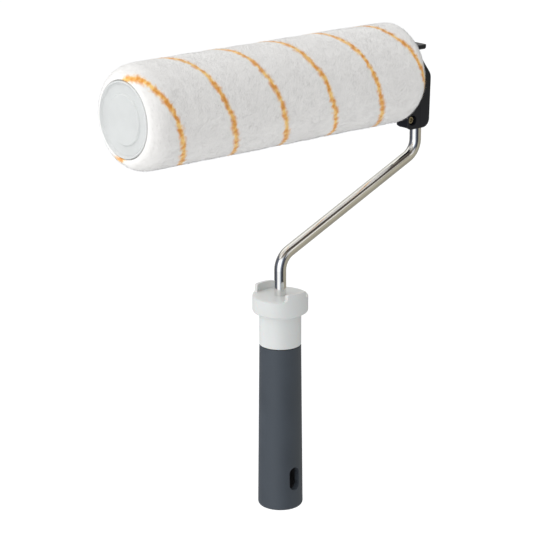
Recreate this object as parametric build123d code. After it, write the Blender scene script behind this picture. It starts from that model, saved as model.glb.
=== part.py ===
from build123d import *
import math
import os

os.makedirs("parts", exist_ok=True)

# Paint roller with a thumb lever that pushes the sleeve off its axle. Millimetres.
# The origin is the centre of the handle's bottom face, at the mouth of the pole socket. +Z runs up
# the handle, +X along the roller's axis towards the casing, and the bent rod lies in the plane Y = 0.

# ---- fits ----
RUN = 0.05  # radial clearance of a running or sliding fit
SNUG = 0.03  # radial clearance of pieces that stay fixed to each other
GAP = 0.3  # space between faces that move past each other
SEAM = 0.15  # open line between two mouldings

# ---- sleeve ----
SLEEVE_L = 230.0
SLEEVE_MID_X = -11.6  # the sleeve's middle stands this far from the handle's axis
PILE_R = 34.3
CORE_R = 24.0
CORE_WALL = 2.0
PILE_NOSE_L = 12.0  # length of the rounded end of the pile, at the closed cap
PILE_TAIL_R = 9.0
CAP_T = 2.2
CAP_SPIGOT_L = 8.0
CAP_RIM_W = 1.3
CAP_DISH = 1.2
CAP_DOME_R = 15.6
PLUG_FLANGE_T = 1.2
PLUG_WEB_T = 2.0
PLUG_RIM_L = 12.0
PLUG_WALL = 2.4
BEARING_L = 16.0
BEARING_HUB_R = 8.0
BEARING_TO_TIP = 16.0  # the bearing's outer face to the tip of the axle

# ---- handle ----
GRIP_L = 115.1
GRIP_TOP_R = 14.1
GRIP_BOTTOM_R = 15.3
GRIP_WALL = 1.6
GRIP_EDGE_R = 2.4
GRIP_SEAM = 0.45  # open line between the grip and the collar
COLLAR_CHAMFER = 0.25
COLLAR_H = 34.7  # joint with the grip to the collar's floor
FLANGE_R = 18.7
FLANGE_H = 9.5
FLANGE_TAPER_H = 4.0
LUG_H = 5.0
LUG_T = 2.3
LUG_W = 15.8
LUG_FOOT_R = 1.8
SOCKET_R = 9.5
SOCKET_L = 50.0
LINER_WALL = 1.4
LINER_FLANGE_T = 1.0
SLOT_W = 8.2
SLOT_H = 16.5
SLOT_Z = 22.3
SLOT_LINING = 0.9  # the grip's rubber also lines the slot
TANG_L = 84.0  # rod inside the handle, below the collar's floor
PIN_R = 1.5
ROD_PIN_DROP = 55.0  # cross pin below the collar's floor

# ---- rod ----
ROD_R = 4.0
KNEE_RISE = 25.5  # collar floor to the knee, where the rod starts its slope
SLOPE_RISE = 54.1
UPPER_RISE = 58.1  # elbow to the roller's axis
BEND_R = 13.0
TOP_BEND_R = 16.0
TIP_TO_CAP = 22.0  # tip of the axle to the sleeve's closed end
TIP_L = 10.0
TIP_SPIGOT_R = 2.5
TIP_SPIGOT_L = 7.0

# ---- carrier, ejector and their stops ----
CARRIER_R = 12.0
CARRIER_JOURNAL_R = 11.0
CARRIER_FINGER_T = 1.6
CARRIER_FINGERS = 6
CARRIER_FINGER_SLOT = 1.6
CARRIER_FINGER_L = 15.0
CARRIER_NOSE = 1.0
CARRIER_L = 26.2
CARRIER_NECK_R = 6.5
EJECT_TRAVEL = 4.8
RING_T = 1.6
RING_R = 17.5
CLIP_T = 1.0
CLIP_R = 6.6
CLIP_GROOVE_DEPTH = 0.9
WASHER_T = 0.7
WASHER_R = 8.0
SPACER_T = 2.0

# ---- casing round the top bend ----
CASING_HALF_T = 6.7
SLEEVE_TO_CASING = 5.2
CASING_TO_ROD = 13.8
CASING_BACK = 7.7  # rod axis to the casing's far side
CASING_DRAFT = 1.1  # how far the far side leans in at the bottom
CASING_DROP = 41.1  # roller's axis to the casing's bottom
CASING_TOP = 9.5
CASING_TOP_L = 11.0  # length of the flat top, before the sloped shoulder
SHOULDER_DROP = 4.6
CASING_WALL = 1.5
BEND_DROP = 0.8  # the bend's sag where it leaves the casing
CASING_REAR_R = 4.0
CASING_HEEL_R = 6.0
CASING_SHOULDER_R = 8.0
CASING_EDGE_R = 0.6
COVER_TO_ROD = 2.0  # the cover's edge stops this far short of the rod's axis
SCREW_FROM_ROD = 9.2
SCREW_DROP = 34.8
RECESS_R = 3.6
RECESS_DEPTH = 3.4
HEAD_R = 2.8
HEAD_H = 1.7
DRIVE_R = 1.55
DRIVE_DEPTH = 1.2
SCREW_R = 1.5
BARREL_R = 2.3
BARREL_FLANGE_R = 3.4
BARREL_FLANGE_T = 1.1

# ---- lever ----
PIVOT_IN = 3.8  # casing's inner face to the pivot
PIVOT_RISE = 13.1  # roller's axis to the pivot
EAR_R = 3.2
LEVER_HALF_W = 2.9
HUB_R = 3.0
FORK_R = 16.4
FORK_BORE_R = 12.3
FORK_T = 2.3
FORK_LEG_DROP = 7.0
PAD_R = 1.0
PAD_DROP = 5.5
PADDLE_T = 3.2
PADDLE_CORNER_R = 1.0
PADDLE_UNDER = 0.0  # pivot to the paddle's underside
PADDLE_HALF_W = 5.5
PADDLE_REACH = 13.9  # pivot to the paddle's end
PADDLE_START = 4.9
SPRING_WIRE_R = 0.3
SPRING_TURNS = 3
PADDLE_LEG = 3.9

# ---- positions that follow from the sizes above ----
SLEEVE_IN_X = SLEEVE_MID_X + SLEEVE_L / 2
SLEEVE_OUT_X = SLEEVE_MID_X - SLEEVE_L / 2
CASING_X = SLEEVE_IN_X + SLEEVE_TO_CASING
ROD_X = CASING_X + CASING_TO_ROD
CASING_END_X = ROD_X + CASING_BACK
COVER_END_X = ROD_X - COVER_TO_ROD
POCKET_HALF = ROD_R + 2 * RUN
FLOOR_Z = GRIP_L + COLLAR_H
KNEE_Z = FLOOR_Z + KNEE_RISE
ELBOW_Z = KNEE_Z + SLOPE_RISE
AXLE_Z = ELBOW_Z + UPPER_RISE
AXLE = Axis((0, 0, AXLE_Z), (1, 0, 0))
CARRIER_X = CASING_X - SPACER_T - 0.2 - 0.1  # inner end of the carrier
CARRIER_TIP_X = CARRIER_X - CARRIER_L
RING_X = SLEEVE_IN_X + 0.1
CLIP_X = CARRIER_TIP_X - WASHER_T - 0.3 - CLIP_T
TIP_X = SLEEVE_OUT_X + TIP_TO_CAP
ROD_END_X = TIP_X + TIP_L - TIP_SPIGOT_L + 1.5
BEARING_X = TIP_X + BEARING_TO_TIP
CORE_OUT_X = SLEEVE_OUT_X + CAP_T
CORE_IN_X = SLEEVE_IN_X - PLUG_FLANGE_T
CORE_BORE_R = CORE_R - CORE_WALL
PIVOT_X = CASING_X + PIVOT_IN
PIVOT_Z = AXLE_Z + PIVOT_RISE
SCREW_X = ROD_X - SCREW_FROM_ROD
SCREW_Z = AXLE_Z - SCREW_DROP
ROD_PIN_Z = FLOOR_Z - ROD_PIN_DROP
LINER_R = SOCKET_R + LINER_WALL


def slab(sketch, y0, y1):
    """Extrude a sketch drawn in X and Z from y0 to y1."""
    return extrude(Plane.XZ.offset(-y1) * sketch, amount=y1 - y0)


def slab_x(sketch, x0, x1):
    """Extrude a sketch drawn in Y and Z from x0 to x1."""
    return extrude(Plane.YZ.offset(x0) * sketch, amount=x1 - x0)


def block(x0, x1, y0, y1, z0, z1):
    """A box given by its low and high corners."""
    return Pos((x0 + x1) / 2, (y0 + y1) / 2, (z0 + z1) / 2) * Box(x1 - x0, y1 - y0, z1 - z0)


def rod_along_y(radius, x, z, y0, y1):
    """A cylinder along Y."""
    return slab(Pos(x, z) * Circle(radius), y0, y1)


def turned_z(points):
    """Turn an outline of (radius, z) points about the handle's axis."""
    return revolve(Plane.XZ * make_face(Polyline(*points, close=True)), Axis.Z)


def turned_x(outline):
    """Turn an outline of (x, radius) points about the roller's axis."""
    face = make_face(Polyline(*outline, close=True)) if isinstance(outline, list) else outline
    return revolve(Plane.XZ * Pos(0, AXLE_Z) * face, AXLE)


def tube_x(inner, outer, x0, x1):
    """A plain ring about the roller's axis."""
    return turned_x([(x0, inner), (x0, outer), (x1, outer), (x1, inner)])


def rounded(points, radii):
    """A closed face with each corner rounded by its own radius."""
    return make_face(FilletPolyline(*points, radius=radii, close=True))


def frame_rod():
    """The steel rod: tang, knee, elbow, top bend and axle, with a clip groove and a turned tip."""
    bottom = FLOOR_Z - TANG_L
    route = FilletPolyline(
        (0, 0, bottom), (0, 0, KNEE_Z), (ROD_X, 0, ELBOW_Z), (ROD_X, 0, AXLE_Z), (ROD_END_X, 0, AXLE_Z),
        radius=[BEND_R, BEND_R, TOP_BEND_R],
    )
    rod = sweep(Plane(origin=route @ 0, z_dir=route % 0) * Circle(ROD_R), path=route)
    rod -= tube_x(ROD_R - CLIP_GROOVE_DEPTH, ROD_R + 1, CLIP_X - SNUG, CLIP_X + CLIP_T + SNUG)
    rod -= tube_x(TIP_SPIGOT_R, ROD_R + 1, ROD_END_X - 1, ROD_END_X + TIP_SPIGOT_L)
    return rod - rod_along_y(PIN_R, 0, ROD_PIN_Z, -GRIP_TOP_R, GRIP_TOP_R)


def hang_slot(grow=0):
    """The oblong slot through the handle along Y, made wider all round by grow."""
    mouth = Pos(0, SLOT_Z) * SlotOverall(SLOT_H + 2 * grow, SLOT_W + 2 * grow, rotation=90)
    return slab(mouth, -2 * FLANGE_R, 2 * FLANGE_R)


def collar_lug(side):
    """One of the two low arc walls on the collar's flange."""
    half, foot, top = LUG_W / 2, LUG_FOOT_R, FLOOR_Z + LUG_H
    outline = FilletPolyline(
        (-half - 2 * foot, FLOOR_Z - 1), (-half - 2 * foot, FLOOR_Z), (-half, FLOOR_Z), (-half, top),
        (half, top), (half, FLOOR_Z), (half + 2 * foot, FLOOR_Z), (half + 2 * foot, FLOOR_Z - 1),
        radius=[0, 0, foot, 1.2, 1.2, foot, 0, 0], close=True,
    )
    y0, y1 = sorted((side * FLANGE_R / 2, side * (FLANGE_R + 2)))
    wall = slab(make_face(outline), y0, y1)
    inner = FLANGE_R - LUG_T
    band = turned_z([(inner, FLOOR_Z - 1), (FLANGE_R, FLOOR_Z - 1), (FLANGE_R, top + 1), (inner, top + 1)])
    return wall & band


def handle_core():
    """The light moulding: collar with its flange and lugs, neck, and the core under the grip."""
    hole = ROD_R + SNUG
    flange_z = FLOOR_Z - FLANGE_H
    neck_z = flange_z - FLANGE_TAPER_H
    socket_top = SOCKET_L + LINER_FLANGE_T
    edge = 0.6
    seam_z = GRIP_L + GRIP_SEAM
    side = Polyline(
        (GRIP_TOP_R, neck_z), (GRIP_TOP_R, seam_z + COLLAR_CHAMFER), (GRIP_TOP_R - COLLAR_CHAMFER, seam_z),
        (GRIP_TOP_R - GRIP_WALL, seam_z),
        (GRIP_BOTTOM_R - GRIP_WALL, LINER_FLANGE_T + 1), (LINER_R + SNUG, LINER_FLANGE_T + 1),
        (LINER_R + SNUG, socket_top), (hole, socket_top), (hole, FLOOR_Z), (FLANGE_R - edge, FLOOR_Z),
        (FLANGE_R, FLOOR_Z - edge), (FLANGE_R, flange_z),
    )
    taper = Bezier(
        (FLANGE_R, flange_z), (FLANGE_R, flange_z - 0.75 * FLANGE_TAPER_H),
        (GRIP_TOP_R, neck_z + 0.6 * FLANGE_TAPER_H), (GRIP_TOP_R, neck_z),
    )
    core = revolve(Plane.XZ * make_face([side, taper]), Axis.Z)
    core += collar_lug(-1) + collar_lug(1)
    core -= hang_slot(SLOT_LINING + SNUG)
    return core - rod_along_y(PIN_R + SNUG, 0, ROD_PIN_Z, -GRIP_TOP_R, GRIP_TOP_R)


def handle_grip():
    """The soft grip over the core, closed round the socket's mouth."""
    inner_top = GRIP_TOP_R - GRIP_WALL + SNUG
    inner_bottom = GRIP_BOTTOM_R - GRIP_WALL + SNUG
    mouth = LINER_R + 0.4
    lip = LINER_FLANGE_T + 1 - SNUG
    outline = FilletPolyline(
        (mouth, 0), (GRIP_BOTTOM_R, 0), (GRIP_TOP_R, GRIP_L), (inner_top, GRIP_L), (inner_bottom, lip),
        (mouth, lip),
        radius=[0, GRIP_EDGE_R, 0.35, 0, 0, 0], close=True,
    )
    grip = revolve(Plane.XZ * make_face(outline), Axis.Z)
    wall, skin = LINER_R + 2 * SNUG, GRIP_BOTTOM_R - GRIP_WALL / 2
    ring = turned_z([(wall, 0), (skin, 0), (skin, 2 * SLOT_Z), (wall, 2 * SLOT_Z)])
    grip += hang_slot(SLOT_LINING) & ring
    return grip - hang_slot()


def pole_socket_liner():
    """The hard liner that takes the extension pole, with windows in line with the slot."""
    top = SOCKET_L
    liner = turned_z([(SOCKET_R, 0), (LINER_R, 0), (LINER_R, top), (SOCKET_R, top)])
    return liner - hang_slot()


def rod_cross_pin():
    """The pin that ties the rod's tang to the core, hidden under the grip."""
    return rod_along_y(PIN_R - SNUG, 0, ROD_PIN_Z, 0.3 - GRIP_TOP_R + GRIP_WALL, GRIP_TOP_R - GRIP_WALL - 0.3)


def casing_outline():
    """The casing's outline in X and Z: chamfered foot, round heel, sloped shoulder."""
    low, high = AXLE_Z - CASING_DROP, AXLE_Z + CASING_TOP
    points = [
        (CASING_X, low + 1.9), (CASING_X + 3.2, low), (CASING_END_X - CASING_DRAFT, low),
        (CASING_END_X, AXLE_Z - SHOULDER_DROP), (CASING_X + CASING_TOP_L, high), (CASING_X, high),
    ]
    return rounded(points, [0, 0, CASING_HEEL_R, CASING_SHOULDER_R, 0, 0])


def casing_solid():
    """The whole outer shape: flat front, rounded rear edges, with two ears for the lever's pin."""
    half, top = CASING_HALF_T, AXLE_Z + CASING_TOP
    outer = slab(casing_outline(), -half, half)
    outer = fillet(outer.faces().sort_by(Axis.Y)[-1].edges(), CASING_REAR_R)
    outer = fillet(outer.faces().sort_by(Axis.Y)[0].edges(), CASING_EDGE_R)
    ear = rod_along_y(EAR_R, PIVOT_X, PIVOT_Z, -half, half)
    ear += block(PIVOT_X - EAR_R, PIVOT_X + EAR_R, -half, half, top - CASING_REAR_R - 1, PIVOT_Z)
    slot = LEVER_HALF_W + GAP
    return outer + ear - block(CASING_X - 1, CASING_END_X, -slot, slot, top, PIVOT_Z + EAR_R + 1)


def casing_pocket():
    """The room inside the casing: the rod's upright, its top bend and the axle's way out."""
    fit = POCKET_HALF
    low, bend_x, bend_z = AXLE_Z - CASING_DROP - 1, ROD_X - TOP_BEND_R, AXLE_Z - TOP_BEND_R
    wall = CASING_X + CASING_WALL
    upright = block(wall, ROD_X + fit, -fit, fit, low, bend_z)
    bend = rod_along_y(TOP_BEND_R + fit, bend_x, bend_z, -fit, fit)
    bend &= block(wall, ROD_X + fit, -fit, fit, bend_z, AXLE_Z + fit)
    way_out = block(CASING_X - 1, wall + 1, -fit, fit, AXLE_Z - fit - BEND_DROP, AXLE_Z + fit)
    return upright + bend + way_out


def cover_region(clearance):
    """The front-left part of the casing that belongs to the cover."""
    plate = block(
        CASING_X - 1, COVER_END_X - clearance, -CASING_HALF_T - 1, -POCKET_HALF - clearance,
        AXLE_Z - CASING_DROP - 1, PIVOT_Z + EAR_R + 1,
    )
    ear = block(
        CASING_X - 1, COVER_END_X - clearance, -CASING_HALF_T - 1, 0, AXLE_Z + CASING_TOP, PIVOT_Z + EAR_R + 1
    )
    return plate + ear


def pivot_bore(radius):
    """The pin's hole through both ears."""
    return rod_along_y(radius, PIVOT_X, PIVOT_Z, -CASING_HALF_T - 1, CASING_HALF_T + 1)


def casing_body():
    """The casing's tray: back, sides and the front lip over the rod."""
    body = casing_solid() - casing_pocket() - cover_region(0)
    body -= rod_along_y(BARREL_R + SNUG, SCREW_X, SCREW_Z, 0, CASING_HALF_T + 1)
    seat = CASING_HALF_T - BARREL_FLANGE_T
    body -= rod_along_y(BARREL_FLANGE_R + SNUG, SCREW_X, SCREW_Z, seat, CASING_HALF_T + 1)
    body -= rod_along_y(RECESS_R + 1.2, SCREW_X, SCREW_Z, -POCKET_HALF, POCKET_HALF)
    return body - pivot_bore(PIN_R)


def casing_cover():
    """The front cover with its ear and the boss that carries the screw."""
    cover = casing_solid() & cover_region(SEAM)
    inside = -POCKET_HALF - SEAM
    boss = rod_along_y(RECESS_R + 1.0, SCREW_X, SCREW_Z, inside - 1, ROD_R)
    boss &= block(CASING_X + 0.6, ROD_X - ROD_R - GAP, inside - 1, ROD_R, AXLE_Z - CASING_DROP, AXLE_Z)
    cover += boss
    seat = -CASING_HALF_T + RECESS_DEPTH
    cover -= rod_along_y(RECESS_R, SCREW_X, SCREW_Z, -CASING_HALF_T - 1, seat)
    cover -= rod_along_y(BARREL_R + SNUG, SCREW_X, SCREW_Z, seat + 1.2, ROD_R + 1)
    cover -= rod_along_y(SCREW_R + 0.1, SCREW_X, SCREW_Z, seat - 1, seat + 2)
    return cover - pivot_bore(PIN_R)


def clamp_screw():
    """Pan-head screw in the cover's recess, with a hexagon socket in its head."""
    seat = -CASING_HALF_T + RECESS_DEPTH
    screw = rod_along_y(HEAD_R, SCREW_X, SCREW_Z, seat - HEAD_H, seat)
    screw = fillet(screw.edges().group_by(Axis.Y)[0], 0.7)
    screw += rod_along_y(SCREW_R, SCREW_X, SCREW_Z, seat - 0.5, ROD_R)
    drive = Pos(SCREW_X, SCREW_Z) * RegularPolygon(DRIVE_R, 6)
    return screw - slab(drive, seat - HEAD_H - 1, seat - HEAD_H + DRIVE_DEPTH)


def barrel_nut():
    """The barrel nut that takes the screw, its flange flush in the casing's back."""
    seat = CASING_HALF_T - BARREL_FLANGE_T
    nut = rod_along_y(BARREL_R, SCREW_X, SCREW_Z, -CASING_HALF_T + RECESS_DEPTH + 1.4, seat + 0.5)
    nut += rod_along_y(BARREL_FLANGE_R, SCREW_X, SCREW_Z, seat, CASING_HALF_T)
    return nut - rod_along_y(SCREW_R + SNUG, SCREW_X, SCREW_Z, -CASING_HALF_T, ROD_R + 0.5)


def lever_pivot_pin():
    """The steel pin through the casing's ears."""
    return rod_along_y(PIN_R, PIVOT_X, PIVOT_Z, -CASING_HALF_T + 0.3, CASING_HALF_T - 0.3)


def eject_lever():
    """Thumb paddle, hub and the fork whose two pads push the ejector ring."""
    face_x = CASING_X - 0.4
    fork = Circle(FORK_R) - Circle(FORK_BORE_R)
    upper = Pos(0, FORK_R) * Rectangle(2 * FORK_R, 2 * FORK_R)
    leg = Pos((FORK_R + FORK_BORE_R) / 2, -FORK_LEG_DROP / 2) * Rectangle(
        FORK_R - FORK_BORE_R, FORK_LEG_DROP
    )
    fork = (fork & upper) + leg + mirror(leg, Plane.YZ)
    lever = slab_x(Pos(0, AXLE_Z) * fork, face_x - FORK_T, face_x)
    for side in (-1, 1):
        y0, y1 = sorted((side * (FORK_BORE_R + 0.2), side * (FORK_R - 0.2)))
        lever += rod_along_y(PAD_R, face_x - FORK_T + 0.5, AXLE_Z - PAD_DROP, y0, y1)
    width = LEVER_HALF_W
    lever += block(face_x - FORK_T, PIVOT_X, -width, width, PIVOT_Z - 1.4, PIVOT_Z + 2.3)
    lever += rod_along_y(HUB_R, PIVOT_X, PIVOT_Z, -width, width)
    under = PIVOT_Z + PADDLE_UNDER
    lever += block(PIVOT_X, PIVOT_X + PADDLE_START + 1, -width, width, under, under + PADDLE_T)
    end = PIVOT_X + PADDLE_REACH
    wide = PADDLE_HALF_W
    plan = rounded(
        [(PIVOT_X + PADDLE_START, -wide), (end, -wide), (end, wide), (PIVOT_X + PADDLE_START, wide)],
        PADDLE_CORNER_R,
    )
    paddle = extrude(Plane.XY.offset(under) * plan, amount=PADDLE_T)
    paddle = chamfer(paddle.edges().group_by(Axis.Z)[0].sort_by(Axis.X)[-1], 0.9)
    lever += paddle
    lever -= pivot_bore(PIN_R + RUN)
    return lever - spring_room()


def spring_room():
    """The slot in the lever's hub that holds the spring's coil."""
    half = (SPRING_TURNS + 1) * SPRING_WIRE_R + 0.2
    return rod_along_y(HUB_R + GAP, PIVOT_X, PIVOT_Z, -half, half)


def lever_spring():
    """Torsion spring round the pivot pin: one leg on the casing's top, one under the paddle."""
    mean = (PIN_R + HUB_R) / 2 + 0.1
    pitch = 2 * SPRING_WIRE_R + 0.06
    turns = SPRING_TURNS - 1 / 5
    coil = Helix(pitch=pitch, height=pitch * turns, radius=mean)
    wire = sweep(Plane(origin=coil @ 0, z_dir=coil % 0) * Circle(SPRING_WIRE_R), path=coil)
    casing_leg = PIVOT_RISE - CASING_TOP - 0.05
    wire += extrude(Plane(origin=coil @ 0, z_dir=-(coil % 0)) * Circle(SPRING_WIRE_R), amount=casing_leg)
    wire += extrude(Plane(origin=coil @ 1, z_dir=coil % 1) * Circle(SPRING_WIRE_R), amount=PADDLE_LEG)
    return Pos(PIVOT_X, pitch * turns / 2, PIVOT_Z) * Rot(X=90) * wire


def axle_spacer():
    """The spacer between the carrier and the casing."""
    return tube_x(ROD_R + 4 * RUN, WASHER_R, CASING_X - 0.1 - SPACER_T, CASING_X - 0.1)


def outboard_washer():
    """The thrust washer between the carrier and the retaining clip."""
    x0 = CARRIER_TIP_X - 0.15 - WASHER_T
    return tube_x(ROD_R + 2 * RUN, WASHER_R, x0, x0 + WASHER_T)


def retaining_clip():
    """E-shaped clip in the axle's groove."""
    seat = ROD_R - CLIP_GROOVE_DEPTH + SNUG
    clip = tube_x(seat, CLIP_R, CLIP_X, CLIP_X + CLIP_T)
    return clip - block(CLIP_X - 1, CLIP_X + CLIP_T + 1, -seat, seat, AXLE_Z - CLIP_R - 1, AXLE_Z)


def axle_tip_guide():
    """The nylon nose on the end of the axle that leads the sleeve on."""
    outer = ROD_R - RUN
    bore = TIP_SPIGOT_R + SNUG
    nose = FilletPolyline(
        (TIP_X, 0), (TIP_X, outer), (ROD_END_X + TIP_SPIGOT_L - 0.05, outer),
        (ROD_END_X + TIP_SPIGOT_L - 0.05, bore), (ROD_END_X - 0.2, bore), (ROD_END_X - 0.2, 0),
        radius=[0, 2.5, 0, 0, 0, 0], close=True,
    )
    return turned_x(make_face(nose))


def carrier_hub():
    """The nylon hub that turns on the axle and grips the sleeve's plug with spring fingers."""
    bore = ROD_R + RUN
    step = RING_X - EJECT_TRAVEL - GAP
    finger_in = CARRIER_R - CARRIER_FINGER_T
    fingers_x = CARRIER_TIP_X + CARRIER_FINGER_L
    hub = turned_x([
        (CARRIER_TIP_X, bore), (CARRIER_TIP_X, CARRIER_NECK_R), (fingers_x, CARRIER_NECK_R),
        (fingers_x, finger_in), (CARRIER_TIP_X + 1, finger_in), (CARRIER_TIP_X + 1, CARRIER_R - CARRIER_NOSE),
        (CARRIER_TIP_X + 1 + CARRIER_NOSE, CARRIER_R), (step, CARRIER_R), (step, CARRIER_JOURNAL_R),
        (CARRIER_X, CARRIER_JOURNAL_R), (CARRIER_X, bore),
    ])
    for index in range(CARRIER_FINGERS):
        gap = block(
            CARRIER_TIP_X - 1, fingers_x, -CARRIER_FINGER_SLOT / 2, CARRIER_FINGER_SLOT / 2,
            CARRIER_NECK_R + 0.5, CARRIER_R + 1,
        )
        hub -= Pos(0, 0, AXLE_Z) * Rot(X=360 / CARRIER_FINGERS * (index + 0.5)) * gap
    return hub


def finger_spring():
    """The wire ring inside the carrier's fingers that presses them outwards."""
    mean = CARRIER_R - CARRIER_FINGER_T - 0.6 - SNUG
    ring = Plane.XZ * Pos(CARRIER_TIP_X + 4.5, AXLE_Z + mean) * Circle(0.6)
    ring = revolve(ring, AXLE)
    return ring - block(CARRIER_TIP_X, CARRIER_TIP_X + 9, -1, 1, AXLE_Z - CARRIER_R, AXLE_Z)


def ejector_ring():
    """The ring on the carrier's journal that the lever pushes against the sleeve."""
    inner = CARRIER_JOURNAL_R + 2 * RUN
    return turned_x(rounded(
        [(RING_X, inner), (RING_X, RING_R), (RING_X + RING_T, RING_R), (RING_X + RING_T, inner)],
        [0.3, 0.3, 0, 0],
    ))


def sleeve_core():
    """The stiff tube under the pile."""
    return tube_x(CORE_BORE_R, CORE_R, CORE_OUT_X, CORE_IN_X)


def pile_cover():
    """The pile as one soft body, its outer end rounded over to the cap."""
    inner, x0 = CORE_R + 0.3 + SNUG, SLEEVE_OUT_X + 0.7
    wall = PILE_R - inner
    edge = min(0.5, wall / 15)
    tail = min(PILE_TAIL_R, wall - 1.1 * edge)
    nose = [(x0, inner)]
    steps = 6
    for index in range(1, steps + 1):
        angle = math.pi / 2 * index / steps
        x = x0 + PILE_NOSE_L * (1 - math.cos(angle))
        nose.append((x, inner + (PILE_R - inner) * math.sin(angle)))
    face = make_face([
        Spline(nose, tangents=[(0, 1), (1, 0)]),
        FilletPolyline(
            nose[-1], (SLEEVE_IN_X, PILE_R), (SLEEVE_IN_X, inner), nose[0], radius=[tail, edge],
        ),
    ])
    return turned_x(face)


def outer_end_cap():
    """The closed cap: a thin raised rim, a shallow dish, and a low dome sunk in the dish's middle."""
    x0, rim = SLEEVE_OUT_X, CORE_R + 0.3
    wall = 1.5
    floor = x0 + CAP_DISH
    dish_r = rim - CAP_RIM_W
    spigot = CORE_BORE_R - SNUG
    back = CORE_OUT_X + CAP_SPIGOT_L
    dome_rise = 1.2
    dome_ball_r = (CAP_DOME_R**2 + dome_rise**2) / (2 * dome_rise)
    top = floor + 0.6
    dome = JernArc((top, 0), (0, 1), -dome_ball_r, math.degrees(math.asin(CAP_DOME_R / dome_ball_r)))
    side = Polyline(
        dome @ 0, (top + wall, 0), (floor + 3.2, CAP_DOME_R + 2.4), (back, CAP_DOME_R + 3),
        (back, spigot), (CORE_OUT_X, spigot), (CORE_OUT_X, rim), (x0 + 0.35, rim), (x0, rim - 0.35),
        (x0, rim - CAP_RIM_W + 0.4), (floor - 0.6, dish_r), (floor, dish_r - 0.8),
        (floor + 0.3, CAP_DOME_R + 0.7), dome @ 1,
    )
    return turned_x(make_face([dome, side]))


def outer_bearing():
    """The disc inside the core that runs on the end of the axle."""
    rim = CORE_BORE_R - SNUG
    x0, x1 = BEARING_X, BEARING_X + BEARING_L
    web = (x0 + x1) / 2
    return turned_x([
        (x0, ROD_R + RUN), (x0, BEARING_HUB_R), (web - 1, BEARING_HUB_R), (web - 1, rim - 1.8),
        (x0 + 2, rim - 1.8), (x0 + 2, rim), (x1 - 2, rim), (x1 - 2, rim - 1.8), (web + 1, rim - 1.8),
        (web + 1, BEARING_HUB_R), (x1, BEARING_HUB_R), (x1, ROD_R + RUN),
    ])


def inner_end_plug():
    """The open plug in the core's other end, whose socket fits over the carrier."""
    rim = CORE_BORE_R - SNUG
    inner = CARRIER_R + RUN
    outer = inner + PLUG_WALL
    x1 = SLEEVE_IN_X
    web = x1 - PLUG_WEB_T
    tail = CARRIER_TIP_X + 1.5
    return turned_x([
        (tail, inner), (tail, outer), (web, outer), (web, rim - 1.8), (web - PLUG_RIM_L, rim - 1.8),
        (web - PLUG_RIM_L, rim), (CORE_IN_X + 0.02, rim), (CORE_IN_X + 0.02, CORE_R), (x1, CORE_R), (x1, inner),
    ])


PIECES = [
    frame_rod, handle_core, handle_grip, pole_socket_liner, rod_cross_pin,
    casing_body, casing_cover, clamp_screw, barrel_nut, lever_pivot_pin, eject_lever, lever_spring,
    axle_spacer, outboard_washer, retaining_clip, axle_tip_guide, carrier_hub, finger_spring,
    ejector_ring, sleeve_core, pile_cover, outer_end_cap, outer_bearing, inner_end_plug,
]

for piece in PIECES:
    export_step(piece(), f"parts/{piece.__name__}.step")
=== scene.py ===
import math

import bpy
import numpy as np
from bpy.props import FloatProperty, FloatVectorProperty, IntProperty, PointerProperty
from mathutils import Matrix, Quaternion, Vector


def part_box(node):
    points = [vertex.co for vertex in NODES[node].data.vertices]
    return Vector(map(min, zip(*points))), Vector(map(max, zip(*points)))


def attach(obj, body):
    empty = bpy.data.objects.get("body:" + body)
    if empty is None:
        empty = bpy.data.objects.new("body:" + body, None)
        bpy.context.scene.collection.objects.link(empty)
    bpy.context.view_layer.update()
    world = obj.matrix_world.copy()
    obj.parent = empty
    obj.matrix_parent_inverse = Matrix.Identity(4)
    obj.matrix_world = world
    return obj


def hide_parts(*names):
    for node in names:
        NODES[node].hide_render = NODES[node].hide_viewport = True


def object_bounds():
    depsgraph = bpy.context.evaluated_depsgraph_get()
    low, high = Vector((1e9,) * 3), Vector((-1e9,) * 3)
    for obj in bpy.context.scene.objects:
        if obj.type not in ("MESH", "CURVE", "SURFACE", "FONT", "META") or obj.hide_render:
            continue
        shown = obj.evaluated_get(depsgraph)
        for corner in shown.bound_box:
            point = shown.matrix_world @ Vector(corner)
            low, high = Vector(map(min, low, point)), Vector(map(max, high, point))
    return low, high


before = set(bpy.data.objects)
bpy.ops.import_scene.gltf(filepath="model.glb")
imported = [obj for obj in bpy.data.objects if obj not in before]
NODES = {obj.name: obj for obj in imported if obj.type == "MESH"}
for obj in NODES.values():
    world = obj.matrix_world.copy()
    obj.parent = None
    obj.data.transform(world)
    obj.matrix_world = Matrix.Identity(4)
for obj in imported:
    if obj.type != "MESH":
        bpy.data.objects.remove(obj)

bl_info = {
    "name": "Paint Roller Looks",
    "version": (1, 0, 0),
    "blender": (4, 5, 0),
    "location": "3D View > Sidebar > Roller",
    "description": "Pile, plated rod, moulded plastics and stage for a paint roller",
    "category": "Object",
}

CAD_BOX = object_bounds()
PILE_LOW, PILE_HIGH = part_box("pile_cover")
CORE_LOW, CORE_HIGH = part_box("sleeve_core")
AXLE_Z = (PILE_LOW.z + PILE_HIGH.z) / 2
PILE_R = (PILE_HIGH.z - PILE_LOW.z) / 2
CORE_R = (CORE_HIGH.z - CORE_LOW.z) / 2

# How much of the flat fabric's extra length shows in the stripes on the pile's ends.
STRETCH = 0.6
# The crease's middle, as a place along the axle and a turn from the front, and its slant.
CREASE_X, CREASE_TURN, CREASE_SLANT = -0.0838, math.radians(-6.5), math.radians(25.4)
CREASE_HALF_WIDTH, CREASE_HALF_LENGTH = 0.0013, 0.009
# Clearances of the pile from the core in its bore and from the cap's rim.
BORE_GAP, RIM_GAP = 0.0003, 0.0009
# How deep a fibre's root sits in the felt.
ROOT_DEPTH = 0.0002
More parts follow.
